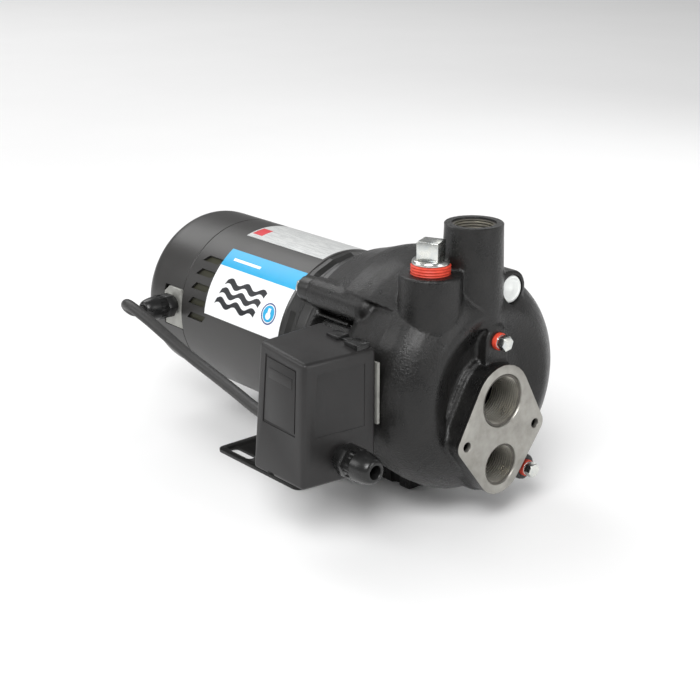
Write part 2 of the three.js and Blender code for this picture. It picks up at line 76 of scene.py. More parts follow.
# Sizes of the casting, measured from the pump's axis.
SUCTION_DROP, SUCTION_BORE, SUCTION_MOUTH = 5.9, 19.4, 21.8
DRIVE_DROP, DRIVE_BORE, DRIVE_MOUTH = 59.5, 15.3, 17.0
DISCHARGE_X, DISCHARGE_BORE, DISCHARGE_MOUTH, DISCHARGE_R = 171.2, 15.3, 17.0, 23.0
REGULATOR_Y, REGULATOR_Z, REGULATOR_FACE, REGULATOR_R = 27.0, 74.4, 188.0, 15.4
GAUGE_Y, GAUGE_Z, GAUGE_FACE = 4.0, 39.5, 197.0
DRAIN_Y, DRAIN_Z, DRAIN_FACE = 45.4, -79.8, 193.0
FLANGE_BOLT_Y, FLANGE_BOLT_DROP, FLANGE_BOLT_R = 38.1, 34.5, 4.0
FLANGE_BACK = 181.0
PRIMING_BORE, PRIMING_R, PRIMING_RISE = 15.9, 24.4, 96.4
GAUGE_R, DRAIN_R, PLUG_BORE, REGULATOR_BORE = 12.4, 10.9, 7.2, 11.8
BOLT_CIRCLE, BOLT_HOLE_R, EAR_R, ARM_R = 84.0, 5.0, 10.9, 12.4
FOOT_NOTCH_X, FOOT_NOTCH_Y, FOOT_NOTCH_R = 100.5, 14.0, 5.5
THREAD_PITCH, THREAD_DEPTH = 2.2, 1.2
EAR_ANGLES = (45, 135, 225, 315)

# Sizes of the motor's sheet metal.
SHEET = 2.2
VENT_COUNT, VENT_FIRST, VENT_STEP, VENT_HALF_WIDTH = 5, 3.0, 10.3, 3.1


# ------------------------------------------------------------------ mesh tools
def bridge(bm, one, two):
    """Faces between two rings of vertices; a ring of one vertex is a pole."""
    count = max(len(one), len(two))
    for i in range(count):
        j = (i + 1) % count
        corners = [one[i % len(one)], one[j % len(one)], two[j % len(two)], two[i % len(two)]]
        unique = list(dict.fromkeys(corners))
        if len(unique) > 2:
            bm.faces.new(unique)


def revolve(profile, segments=96):
    """A solid of revolution about X from (x, radius) points, on the axis or closed."""
    bm = bmesh.new()
    closed = profile[0] == profile[-1]
    rings = []
    for x, radius in profile[:-1] if closed else profile:
        count = segments if radius > 1e-6 else 1
        angles = [2 * math.pi * i / count for i in range(count)]
        rings.append([bm.verts.new((x, radius * math.cos(a), radius * math.sin(a))) for a in angles])
    for one, two in zip(rings, rings[1:] + ([rings[0]] if closed else [])):
        bridge(bm, one, two)
    bmesh.ops.recalc_face_normals(bm, faces=bm.faces)
    return bm


def rod(x0, x1, radius, segments=48):
    return revolve([(x0, 0), (x0, radius), (x1, radius), (x1, 0)], segments)


def tube(x0, x1, outer, inner, segments=64):
    points = [(x0, outer), (x1, outer), (x1, inner), (x0, inner)]
    return revolve(points + points[:1], segments)


def prism(outline, x0, x1):
    """A straight solid along X with an outline of (y, z) points."""
    bm = bmesh.new()
    rings = [[bm.verts.new((x, y, z)) for y, z in outline] for x in (x0, x1)]
    bridge(bm, *rings)
    bm.faces.new(rings[0])
    bm.faces.new(rings[1])
    bmesh.ops.recalc_face_normals(bm, faces=bm.faces)
    return bm


def hexahedron(corners):
    """A solid with eight corners: four of one end, then the matching four of the other."""
    bm = bmesh.new()
    ends = [[bm.verts.new(c) for c in corners[:4]], [bm.verts.new(c) for c in corners[4:]]]
    bridge(bm, *ends)
    bm.faces.new(ends[0])
    bm.faces.new(ends[1])
    bmesh.ops.recalc_face_normals(bm, faces=bm.faces)
    return bm


def block(x0, x1, y0, y1, z0, z1):
    ends = [[(x, y0, z0), (x, y1, z0), (x, y1, z1), (x, y0, z1)] for x in (x0, x1)]
    return hexahedron(ends[0] + ends[1])


def polygon(sides, radius, turn=0.0):
    angles = [turn + 2 * math.pi * i / sides for i in range(sides)]
    return [(radius * math.cos(a), radius * math.sin(a)) for a in angles]


def rounded_rectangle(half_y, half_z, radius, steps=6):
    points = []
    for k, (sy, sz) in enumerate([(1, 1), (-1, 1), (-1, -1), (1, -1)]):
        for i in range(steps + 1):
            a = math.pi / 2 * (k + i / steps)
            y = sy * (half_y - radius) + radius * math.cos(a)
            points.append((y, sz * (half_z - radius) + radius * math.sin(a)))
    return points


def outline_around(circles, steps=10):
    """The outline around circles (y, z, radius), given anticlockwise."""
    normals = []
    for (y, z, r), (ny, nz, nr) in zip(circles, circles[1:] + circles[:1]):
        distance = math.hypot(ny - y, nz - z)
        normals.append(math.atan2(nz - z, ny - y) - math.acos((r - nr) / distance))
    points = []
    for i, (y, z, r) in enumerate(circles):
        start = normals[i - 1]
        sweep = (normals[i] - start) % (2 * math.pi)
        for k in range(steps + 1):
            a = start + sweep * k / steps
            points.append((y + r * math.cos(a), z + r * math.sin(a)))
    return points


def moved(bm, x=0.0, y=0.0, z=0.0):
    bm.transform(Matrix.Translation((x, y, z)))
    return bm


def turned(bm, axis, degrees):
    bm.transform(Matrix.Rotation(math.radians(degrees), 4, axis))
    return bm


def upright(bm):
    return turned(bm, "Y", -90)  # +X becomes +Z


def sideways(bm):
    return turned(bm, "Z", -90)  # +X becomes -Y


def about_axis(bm):
    return moved(bm, z=AXIS_Z)


def together(*parts):
    """One bmesh that holds several, which are freed."""
    whole = bmesh.new()
    for part in parts:
        mesh = bpy.data.meshes.new("part")
        part.to_mesh(mesh)
        whole.from_mesh(mesh)
        bpy.data.meshes.remove(mesh)
        part.free()
    return whole


def make(name, bm):
    """A Blender object, in metres, of a mesh drawn in millimetres."""
    bm.transform(Matrix.Scale(MM, 4))
    mesh = bpy.data.meshes.new(name)
    bm.to_mesh(mesh)
    bm.free()
    piece = bpy.data.objects.new(name, mesh)
    bpy.context.scene.collection.objects.link(piece)
    return piece


def apply_modifiers(piece):
    graph = bpy.context.evaluated_depsgraph_get()
    mesh = bpy.data.meshes.new_from_object(piece.evaluated_get(graph))
    piece.modifiers.clear()
    old = piece.data
    piece.data = mesh
    bpy.data.meshes.remove(old)
    piece.data.name = piece.name


def cut(piece, *tools, solver="EXACT"):
    """Cuts bmesh tools out of a piece."""
    cutter = make("cutter", together(*tools))
    change = piece.modifiers.new("cut", "BOOLEAN")
    change.operation = "DIFFERENCE"
    change.solver = solver
    change.use_self = solver == "EXACT"
    change.object = cutter
    apply_modifiers(piece)
    bpy.data.objects.remove(cutter)


def melt(piece, voxel, rounds, strength=0.5):
    """Joins overlapping solids and rounds their corners, as a sand casting is."""
    remesh = piece.modifiers.new("remesh", "REMESH")
    remesh.mode = "VOXEL"
    remesh.voxel_size = voxel * MM
    smooth = piece.modifiers.new("smooth", "SMOOTH")
    smooth.factor = strength
    smooth.iterations = rounds
    apply_modifiers(piece)


def soften(piece, width, segments=2, angle=35):
    """Rounds the sharp edges by a small bevel."""
    bevel = piece.modifiers.new("bevel", "BEVEL")
    bevel.width = width * MM
    bevel.segments = segments
    bevel.limit_method = "ANGLE"
    bevel.angle_limit = math.radians(angle)
    bevel.use_clamp_overlap = True
    apply_modifiers(piece)


def shade(piece, angle=35):
    """Smooth faces, with the edges sharper than an angle kept crisp."""
    mesh = piece.data
    for face in mesh.polygons:
        face.use_smooth = True
    mesh.set_sharp_from_angle(angle=math.radians(angle))


def dress(piece, finish, body=ROOT, replaces=(), angle=35):
    """Gives a piece its material, shading and body, and hides the CAD nodes it stands for."""
    piece.data.materials.clear()
    piece.data.materials.append(finish)
    shade(piece, angle)
    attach(piece, body)
    if replaces:
        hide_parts(*replaces)
    return piece


# -------------------------------------------------------------------- materials
def new_material(name):
    material = bpy.data.materials.new(name)
    material.use_nodes = True
    tree = material.node_tree
    return material, tree, tree.nodes["Principled BSDF"]


def node(tree, kind, **values):
    made = tree.nodes.new(kind)
    for key, value in values.items():
        if hasattr(made, key):
            setattr(made, key, value)
        else:
            made.inputs[key.replace("_", " ")].default_value = value
    return made


def noise(tree, scale, detail=4.0, roughness=0.6, stretch=None):
    """Noise in object coordinates, with scale in features per metre."""
    where = node(tree, "ShaderNodeTexCoord")
    source = where.outputs["Object"]
    if stretch:
        mapping = node(tree, "ShaderNodeMapping")
        mapping.inputs["Scale"].default_value = stretch
        tree.links.new(source, mapping.inputs["Vector"])
        source = mapping.outputs["Vector"]
    made = node(tree, "ShaderNodeTexNoise", Scale=scale, Detail=detail, Roughness=roughness)
    tree.links.new(source, made.inputs["Vector"])
    return made.outputs["Fac"]


def spread(tree, factor, low, high, start=0.3, end=0.7):
    """Maps a noise from its usual range to low..high."""
    made = node(tree, "ShaderNodeMapRange")
    for name, value in (("From Min", start), ("From Max", end), ("To Min", low), ("To Max", high)):
        made.inputs[name].default_value = value
    tree.links.new(factor, made.inputs["Value"])
    return made.outputs["Result"]


def tint(tree, factor, dark, light):
    made = node(tree, "ShaderNodeMix", data_type="RGBA")
    made.inputs[6].default_value = (*dark, 1)
    made.inputs[7].default_value = (*light, 1)
    tree.links.new(factor, made.inputs[0])
    return made.outputs[2]


def bumps(tree, shader, height, strength, distance, under=None):
    made = node(tree, "ShaderNodeBump")
    made.inputs["Strength"].default_value = strength
    made.inputs["Distance"].default_value = distance
    tree.links.new(height, made.inputs["Height"])
    if under:
        tree.links.new(under, made.inputs["Normal"])
    tree.links.new(made.outputs["Normal"], shader.inputs["Normal"])
    return made.outputs["Normal"]


def surface(name, dark, light, rough, metallic=0.0, grain=900.0, bump=0.15, depth=0.0004,
            patch=60.0, stretch=None, coat=0.0, broad=0.0, gloss=0.5):
    """A worn, uneven surface: colour and roughness vary in patches, with a fine grain."""
    material, tree, shader = new_material(name)
    shader.inputs["Metallic"].default_value = metallic
    shader.inputs["Coat Weight"].default_value = coat
    shader.inputs["Specular IOR Level"].default_value = gloss
    shader.inputs["Coat Roughness"].default_value = 0.18
    patches = noise(tree, patch)
    fine = noise(tree, grain, detail=6.0, stretch=stretch)
    tree.links.new(tint(tree, spread(tree, patches, 0, 1), dark, light), shader.inputs["Base Color"])
    tree.links.new(spread(tree, patches, *rough), shader.inputs["Roughness"])
    under = None
    if broad:
        under = bumps(tree, shader, noise(tree, 140.0, detail=3.0), broad, 0.0012)
    bumps(tree, shader, fine, bump, depth, under)
    return material


def label_lines(name, paper, ink, rows):
    """Pale paper with faint grey rules, in the patch's own UV coordinates."""
    material, tree, shader = new_material(name)
    where = node(tree, "ShaderNodeTexCoord")
    bricks = node(tree, "ShaderNodeTexBrick", offset=0.37, squash=1.0)
    for key, value in (("Scale", rows), ("Mortar Size", 0.018), ("Brick Width", 1.7),
                       ("Row Height", 0.25), ("Mortar Smooth", 0.0)):
        bricks.inputs[key].default_value = value
    for key, value in (("Color1", ink), ("Color2", paper), ("Mortar", paper)):
        bricks.inputs[key].default_value = (*value, 1)
    tree.links.new(where.outputs["UV"], bricks.inputs["Vector"])
    tree.links.new(bricks.outputs["Color"], shader.inputs["Base Color"])
    shader.inputs["Roughness"].default_value = 0.42
    bumps(tree, shader, noise(tree, 300.0), 0.05, 0.0003)
    return material


cast_iron = surface("black_cast_iron", (0.0045, 0.0045, 0.0045), (0.011, 0.0105, 0.010), (0.22, 0.42),
                    grain=650.0, bump=0.6, depth=0.0009, patch=45.0, coat=0.1, broad=0.3, gloss=0.34)
machined = surface("machined_iron", (0.27, 0.26, 0.235), (0.42, 0.41, 0.38), (0.34, 0.5), 0.85,
                   grain=700.0, bump=0.12, depth=0.0003, patch=70.0, stretch=(1, 1, 6))
thread_shadow = surface("thread_shadow", (0.06, 0.057, 0.05), (0.13, 0.12, 0.105), (0.4, 0.6), 0.6,
                        grain=900.0, bump=0.1)
thread_iron = surface("cut_thread", (0.46, 0.44, 0.39), (0.64, 0.62, 0.56), (0.25, 0.4), 0.85,
                      grain=900.0, bump=0.1)
motor_paint = surface("motor_paint", (0.022, 0.021, 0.020), (0.028, 0.027, 0.026), (0.34, 0.42),
                      grain=1500.0, bump=0.12, depth=0.0002, patch=18.0, coat=0.05, gloss=0.45)
enamel = surface("black_enamel", (0.005, 0.005, 0.005), (0.011, 0.011, 0.010), (0.3, 0.44),
                 grain=700.0, bump=0.2, depth=0.0003, patch=60.0, coat=0.08, gloss=0.4)
zinc = surface("bright_zinc", (0.52, 0.55, 0.56), (0.80, 0.80, 0.74), (0.16, 0.32), 1.0,
               grain=1200.0, bump=0.12, depth=0.0002, patch=160.0)
dull_zinc = surface("dull_zinc", (0.27, 0.27, 0.25), (0.38, 0.38, 0.355), (0.4, 0.55), 0.5,
                    grain=1100.0, bump=0.12, depth=0.0003, patch=120.0)
switch_plastic = surface("switch_plastic", (0.013, 0.0125, 0.0125), (0.018, 0.017, 0.017), (0.38, 0.48),
                         grain=2200.0, bump=0.2, depth=0.0002, patch=35.0, gloss=0.4)
gland_plastic = surface("gland_plastic", (0.006, 0.006, 0.006), (0.011, 0.011, 0.011), (0.24, 0.34),
                        grain=1400.0, bump=0.08, depth=0.0002, patch=90.0, gloss=0.45)
cord_rubber = surface("cord_rubber", (0.016, 0.016, 0.016), (0.026, 0.025, 0.024), (0.4, 0.55),
                      grain=1600.0, bump=0.18, depth=0.0002, patch=110.0, gloss=0.45)
red_sealant = surface("red_sealant", (0.50, 0.035, 0.018), (0.74, 0.075, 0.035), (0.42, 0.62),
                      grain=900.0, bump=0.3, depth=0.0004, patch=240.0)
white_plastic = surface("white_plastic", (0.66, 0.68, 0.67), (0.80, 0.82, 0.80), (0.35, 0.48),
                        grain=700.0, bump=0.12, depth=0.0003, patch=130.0)
label_white = surface("label_white", (0.80, 0.81, 0.82), (0.88, 0.89, 0.90), (0.3, 0.38),
                      grain=500.0, bump=0.04, patch=30.0)
label_blue = surface("label_blue", (0.0, 0.32, 0.60), (0.005, 0.37, 0.66), (0.3, 0.38),
                     grain=500.0, bump=0.04, patch=30.0)
label_ink = surface("label_ink", (0.010, 0.011, 0.014), (0.018, 0.019, 0.023), (0.3, 0.4),
                    grain=500.0, bump=0.04, patch=60.0)
label_navy = surface("label_navy", (0.008, 0.035, 0.16), (0.012, 0.05, 0.21), (0.3, 0.38),
                     grain=500.0, bump=0.04, patch=60.0)
label_red = surface("label_red", (0.52, 0.03, 0.04), (0.66, 0.05, 0.06), (0.35, 0.45),
                    grain=500.0, bump=0.04, patch=60.0)
rating_paper = label_lines("rating_paper", (0.62, 0.63, 0.62), (0.42, 0.43, 0.43), 18.0)
# Painted shade: the dark seen through the motor's cooling slots.
slot_dark = surface("slot_shadow", (0.014, 0.014, 0.008), (0.035, 0.034, 0.016), (0.6, 0.8),
                    grain=500.0, bump=0.1, patch=50.0)
ground_steel = surface("ground_steel", (0.33, 0.34, 0.35), (0.48, 0.49, 0.5), (0.22, 0.36), 1.0,
                       grain=1500.0, bump=0.1, patch=80.0, stretch=(1, 8, 8))
coil_copper = surface("coil_copper", (0.32, 0.11, 0.04), (0.52, 0.2, 0.07), (0.3, 0.45), 0.8,
                      grain=600.0, bump=0.3, patch=100.0, stretch=(1, 6, 6))
cast_aluminium = surface("cast_aluminium", (0.42, 0.43, 0.43), (0.58, 0.59, 0.58), (0.4, 0.55), 0.8,
                         grain=500.0, bump=0.25, patch=50.0)
filled_plastic = surface("filled_plastic", (0.022, 0.035, 0.055), (0.035, 0.05, 0.075), (0.4, 0.55),
                         grain=900.0, bump=0.15, patch=70.0)
ceramic = surface("ceramic", (0.68, 0.65, 0.58), (0.78, 0.75, 0.68), (0.15, 0.25), grain=900.0,
                  bump=0.05, patch=60.0)
turned_brass = surface("turned_brass", (0.42, 0.29, 0.09), (0.56, 0.41, 0.15), (0.2, 0.35), 1.0,
                       grain=900.0, bump=0.1, patch=120.0)

SLOT_FINISH = {
    "motor_paint": motor_paint,
    "black_enamel": enamel,
    "cast_iron": cast_iron,
    "zinc": zinc,
    "black_plastic": gland_plastic,
    "grey_zinc": dull_zinc,
    "steel": ground_steel,
    "copper": coil_copper,
    "aluminium": cast_aluminium,
    "rubber": cord_rubber,
    "ceramic": ceramic,
    "engineered_plastic": filled_plastic,
    "sealant": red_sealant,
    "white_plastic": white_plastic,
    "brass": turned_brass,
}


def finish_cad_nodes():
    """Every CAD node gets its slot's material."""
    for entry in frame["record"]["subparts"]:
        piece = frame["nodes"][entry["node"]]
        piece.data.materials.clear()
        piece.data.materials.append(SLOT_FINISH[entry["material_slot"]])


# ----------------------------------------------------------- camera and lights
CAMERA_AZIMUTH, CAMERA_ELEVATION = 49.31, 19.14
CAMERA_DISTANCE = 1.2403
CAMERA_TARGET = Vector((0.02591, 0.0, 0.09796))
CAMERA_LENS = 73.45


def make_camera():
    azimuth, elevation = math.radians(CAMERA_AZIMUTH), math.radians(CAMERA_ELEVATION)
    back = Vector((
        math.sin(azimuth) * math.cos(elevation),
        -math.cos(azimuth) * math.cos(elevation),
        math.sin(elevation),
    ))
    data = bpy.data.cameras.new("camera")
    data.lens = CAMERA_LENS
    data.sensor_width = 36
    camera = bpy.data.objects.new("camera", data)
    camera.location = CAMERA_TARGET + CAMERA_DISTANCE * back
    camera.rotation_euler = (-back).to_track_quat("-Z", "Y").to_euler()
    bpy.context.scene.collection.objects.link(camera)
    bpy.context.scene.camera = camera


def area_light(name, place, aim, size, power):
    data = bpy.data.lights.new(name, "AREA")
    data.shape = "RECTANGLE"
    data.size, data.size_y = size
    data.energy = power
    light = bpy.data.objects.new(name, data)
    light.location = place
    light.rotation_euler = (Vector(aim) - Vector(place)).to_track_quat("-Z", "Y").to_euler()
    bpy.context.scene.collection.objects.link(light)


def make_studio():
    world = bpy.data.worlds.new("studio")
    world.use_nodes = True
    world.node_tree.nodes["Background"].inputs["Color"].default_value = (1, 1, 1, 1)
    world.node_tree.nodes["Background"].inputs["Strength"].default_value = 0.3
    bpy.context.scene.world = world
    bpy.context.scene.view_settings.view_transform = "Standard"
    middle = (0.02, 0, 0.12)
    area_light("key_softbox", (1.5, -2.3, 3.0), (-0.9, 0.9, 0), (2.2, 2.2), 115)
    area_light("far_softbox", (-3.4, 0.4, 3.4), (-2.4, 2.4, 0), (3.0, 3.0), 95)
    area_light("left_softbox", (-0.9, -1.3, 0.9), middle, (0.8, 0.8), 7)
    area_light("right_softbox", (1.6, 0.3, 0.7), middle, (0.6, 1.0), 7)
    area_light("rear_softbox", (-0.3, 1.4, 1.0), middle, (1.4, 0.8), 5)
    area_light("front_softbox", (1.0, -1.0, 1.25), middle, (0.4, 0.4), 4)
    floor = make("floor", block(-4000, 4000, -4000, 4000, -20, 0))
    paper, tree, shader = new_material("floor_paper")
    paper_noise = noise(tree, 3.0)
    tree.links.new(tint(tree, paper_noise, (0.86, 0.86, 0.86), (0.9, 0.9, 0.9)),
                   shader.inputs["Base Color"])
    shader.inputs["Roughness"].default_value = 0.9
    floor.data.materials.append(paper)


# ------------------------------------------------------------------------- lead
# The lead's route from the motor gland to the switch gland, in metres.
LEAD_DIAMETER = 0.0096
LEAD_ROUTE = [
    (-0.134, -0.104, 0.1175),
    (-0.134, -0.108, 0.1175),
    (-0.134, -0.1125, 0.1179),
    (-0.1338, -0.1175, 0.1196),
    (-0.1326, -0.1226, 0.1232),
    (-0.129, -0.1274, 0.128),
    (-0.122, -0.1306, 0.131),
    (-0.1125, -0.1318, 0.1308),
    (-0.101, -0.1316, 0.1282),
    (-0.087, -0.1304, 0.1238),
    (-0.069, -0.1286, 0.117),
    (-0.049, -0.1268, 0.1096),
    (-0.027, -0.1256, 0.103),
    (-0.004, -0.1254, 0.098),
    (0.018, -0.1262, 0.094),
    (0.038, -0.1276, 0.0908),
    (0.056, -0.1292, 0.088),
    (0.068, -0.1299, 0.0865),
    (0.076, -0.13, 0.086),
    (0.080, -0.13, 0.086),
]


def smooth_line(points, steps=8):
    """Points of a Catmull-Rom curve through the given ones."""
    knots = [Vector(p) for p in points]
    ends = [2 * knots[0] - knots[1]] + knots + [2 * knots[-1] - knots[-2]]
    line = []
    for a, b, c, d in zip(ends, ends[1:], ends[2:], ends[3:]):
        for i in range(steps):
            t = i / steps
            line.append(0.5 * (2 * b + (c - a) * t + (2 * a - 5 * b + 4 * c - d) * t ** 2
                               + (3 * b - a - 3 * c + d) * t ** 3))
    return line + [knots[-1]]


def make_lead():
    line = smooth_line(LEAD_ROUTE)
    curve = bpy.data.curves.new("motor_lead_cord", "CURVE")
    curve.dimensions = "3D"
    curve.bevel_depth = LEAD_DIAMETER / 2
    curve.bevel_resolution = 6
    curve.use_fill_caps = True
    spline = curve.splines.new("POLY")
    spline.points.add(len(line) - 1)
    for point, place in zip(spline.points, line):
        point.co = (*place, 1)
    spline.use_smooth = True
    lead = bpy.data.objects.new("motor_lead_cord", curve)
    bpy.context.scene.collection.objects.link(lead)
    curve.materials.append(cord_rubber)
    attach(lead, ROOT)
    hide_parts("motor_lead")


# ------------------------------------------------------------------------ motor
def vent_cutter(low, high):
    """Cuts one cooling slot, whose two ends lean apart, through the shell's side."""
    corners = []
    for top_x, bottom_x in ((-105.4, -111.0), (-83.0, -88.6)):
        corners += [
            (top_x, low, VENT_HALF_WIDTH), (bottom_x, low, -VENT_HALF_WIDTH),
            (bottom_x, high, -VENT_HALF_WIDTH), (top_x, high, VENT_HALF_WIDTH),
        ]
    return hexahedron(corners)


def make_motor_shell():
    inner = SHELL_R - SHEET
    x0, x1 = SHELL_LOW.x, SHELL_HIGH.x
    shell = make("motor_shell_painted", about_axis(revolve([
        (x0, SHELL_R - 0.5), (x0 + 0.6, SHELL_R), (x1 - 1.5, SHELL_R), (x1, SHELL_R - 1.2),
        (x1, inner), (x0, inner), (x0, SHELL_R - 0.5)], 128)))
    vents = []
    for side, low, high in ((-1, -80, -70), (1, 70, 80)):
        for i in range(VENT_COUNT):
            angle = side * (VENT_FIRST + VENT_STEP * i)
            vents.append(about_axis(turned(vent_cutter(low, high), "X", angle)))
    cut(shell, *vents)
    dress(shell, motor_paint, replaces=["motor_shell"], angle=30)
    # A dark tube just inside the shell behind the cooling slots: painted shade seen through them.
    shadow_tube = tube(x0 + 1, x0 + 45, inner - 0.4, inner - 0.9, 96)
    liner = make("slot_shadow_sheet", about_axis(shadow_tube))
    dress(liner, slot_dark)


def make_rear_cap():
    x0, x1 = CAP_LOW.x, CAP_HIGH.x
    end_r, corner_steps, gap = 62.0, 10, 0.3
    corner = [(x0, end_r)]
    for i in range(1, corner_steps):
        a = math.radians(90 * i / corner_steps)
        x = x0 + 15 * (1 - math.cos(a)) + 1.2 * math.sin(a)
        corner.append((x, end_r + (SHELL_R - end_r) * math.sin(a)))
    centre = [(x0 + 0.6, 0), (x0 + 0.6, 12), (x0, 14)]
    side = [(x0 + 18, SHELL_R), (x1 - 0.5, SHELL_R), (x1, SHELL_R - 0.6)]
    inside = [(x1, SHELL_R - SHEET), (x0 + 20, SHELL_R - SHEET), (x0 + 8, SHELL_R - 6),
              (x0 + 3, end_r), (x0 + 3, 0)]
    cap = make("rear_cap_painted", about_axis(revolve(centre + corner + side + inside, 128)))
    low, high = node_box("terminal_plate")
    cut(cap, block(low.x - gap, x1 + 1, -80, -62, low.z - gap, high.z + gap),
        about_axis(rod(x0 - 5, x0 + 6, 8)))
    dress(cap, motor_paint, replaces=["rear_cap"], angle=30)


def make_terminal_plate():
    low, high = node_box("terminal_plate")
    chamfer, thickness = 8.0, 3.4
    outline = [(low.x, low.z), (high.x, low.z), (high.x, high.z), (low.x + chamfer, high.z),
               (low.x, high.z - chamfer * 0.8)]
    solid = prism([(-x, z) for x, z in outline], low.y, low.y + thickness)
    plate = make("terminal_plate_cast", turned(solid, "Z", 90))
    soften(plate, 0.7)
    dress(plate, dull_zinc, replaces=["terminal_plate"])


def wrapped(name, x0, x1, a0, a1, lift, finish, wave=None, slant=0.0, columns=24, rows=16):
    """A thin patch on the shell, from angle a0 to a1 in degrees above its -Y side."""
    bm = bmesh.new()
    uv = bm.loops.layers.uv.new("UVMap")
    radius = SHELL_R + lift
    grid = []
    for i in range(columns + 1):
        u = i / columns
        line = []
        for j in range(rows + 1):
            v = j / rows
            shift = wave(u) if wave else 0.0
            a = math.radians(a0 + (a1 - a0) * v + shift)
            x = x0 + (x1 - x0) * u + slant * v
            line.append(bm.verts.new((x, -radius * math.cos(a), radius * math.sin(a) + AXIS_Z)))
        grid.append(line)
    for i in range(columns):
        for j in range(rows):
            face = bm.faces.new((grid[i][j], grid[i + 1][j], grid[i + 1][j + 1], grid[i][j + 1]))
            for loop, (u, v) in zip(face.loops, ((i, j), (i + 1, j), (i + 1, j + 1), (i, j + 1))):
                loop[uv].uv = (u / columns, v / rows)
    patch = make(name, bm)
    thick = patch.modifiers.new("thickness", "SOLIDIFY")
    thick.thickness = 0.06 * MM
    thick.offset = -1
    apply_modifiers(patch)
    return dress(patch, finish, angle=60)


def roundel(name, x, angle, inner, outer, lift, finish, points=40):
    """A ring or disc lying on the shell."""
    bm = bmesh.new()
    radius = SHELL_R + lift
    rings = []
    for k in range(5):
        r = inner + (outer - inner) * k / 4
        ring = []
        for i in range(points):
            a = 2 * math.pi * i / points
            turn = math.radians(angle) + r * math.sin(a) / radius
            ring.append(bm.verts.new((x + r * math.cos(a), -radius * math.cos(turn),
                                      radius * math.sin(turn) + AXIS_Z)))
        rings.append(ring)
    for one, two in zip(rings, rings[1:]):
        bridge(bm, one, two)
    patch = make(name, bm)
    thick = patch.modifiers.new("thickness", "SOLIDIFY")
    thick.thickness = 0.05 * MM
    apply_modifiers(patch)
    return dress(patch, finish, angle=60)


LABEL_LEFT, LABEL_RIGHT = -85.0, 20.0


def make_labels():
    wrapped("side_label", LABEL_LEFT, LABEL_RIGHT, 8, 57, 0.08, label_white)
    wrapped("side_label_band", LABEL_LEFT, LABEL_RIGHT, 43, 57, 0.13, label_blue)
    for k, base in enumerate((17.0, 24.0, 31.0)):
        wrapped(f"side_label_wave_{k + 1}", LABEL_LEFT + 12 + 3 * k, LABEL_LEFT + 68 + 3 * k,
                base, base + 3.9, 0.13, label_ink,
                wave=lambda u: 1.7 * math.sin(2 * math.pi * 2.5 * u), slant=2.0, columns=60, rows=4)
    wrapped("side_label_rule", LABEL_LEFT + 12, LABEL_LEFT + 50, 48.5, 50.5, 0.17, label_white,
            rows=3)
    roundel("side_label_ring", LABEL_LEFT + 87, 23, 8.2, 9.4, 0.17, label_navy)
    roundel("side_label_disc", LABEL_LEFT + 87, 23, 0.05, 7.2, 0.17, label_blue)
    roundel("side_label_drop", LABEL_LEFT + 87, 21.5, 0.05, 3.2, 0.22, label_white)
    wrapped("side_label_drop_tip", LABEL_LEFT + 85.2, LABEL_LEFT + 88.8, 23.0, 26.5, 0.22, label_white,
            columns=4, rows=6)
    wrapped("rating_label", LABEL_LEFT - 3.6, LABEL_RIGHT - 2, 72, 112, 0.08, rating_paper)
    wrapped("rating_label_red", LABEL_LEFT - 1.5, LABEL_LEFT + 12, 76, 86, 0.13, label_red,
            columns=6, rows=6)


# ------------------------------------------------------------------- bolted ring
def on_circle(bm, degrees):
    a = math.radians(degrees)
    return about_axis(moved(bm, y=BOLT_CIRCLE * math.cos(a), z=BOLT_CIRCLE * math.sin(a)))


def make_mounting_ring():
    x0, x1 = RING_LOW.x, RING_HIGH.x
    parts = [about_axis(rod(x0, x1, 78, 128))]
    for degrees in EAR_ANGLES:
        parts.append(on_circle(rod(x0, x1, EAR_R), degrees))
        neck = block(x0, x1, 60, BOLT_CIRCLE, -9.4, 9.4)
        parts.append(about_axis(turned(neck, "X", degrees)))
    ring = make("mounting_ring_cast", together(*parts))
    melt(ring, 1.1, 5)
    holes = [on_circle(rod(x0 - 5, x1 + 5, BOLT_HOLE_R), degrees) for degrees in EAR_ANGLES]
    cut(ring, about_axis(rod(x0 - 5, x1 + 5, 30, 64)), *holes, solver="FAST")
    dress(ring, enamel, replaces=["mounting_ring"], angle=50)


def make_hex_bolt(node_name):
    """A hexagon head with a washer face over the CAD bolt's own head and shank."""
    low, high = node_box(node_name)
    y, z = (low.y + high.y) / 2, (low.z + high.z) / 2
    r = min(high.y - low.y, high.z - low.z) / 2
    head_top = low.x
    head = prism(polygon(6, r, math.radians(15)), head_top, head_top + 4.6)
    washer = rod(head_top + 4.5, head_top + 5.4, r * 0.95)
    shank = rod(head_top + 5.3, high.x, 4.4, 32)
    bolt = make(f"{node_name}_hex", moved(together(head, washer, shank), y=y, z=z))
    soften(bolt, 0.4)
    dress(bolt, zinc, replaces=[node_name])


# ----------------------------------------------------------------------- casing
def casing_drum():
    neck = [(54, 0), (54, 80), (60, 80), (64, 70), (96, 70), (101, 73), (106, 80), (118, 87)]
    side = [(136, 90), (152, 91.2), (153.2, 91.45), (154.6, 91.3), (156, 90.9), (166, 90.6)]
    shoulder = [(172, 89.0), (178, 86), (184, 81.2), (189, 75.2), (192.5, 69.5), (194.4, 65),
                (194.9, 61), (193.6, 56), (190.8, 50), (188, 44), (186.4, 40), (186, 36), (186, 0)]
    return revolve(neck + side + shoulder, 160)


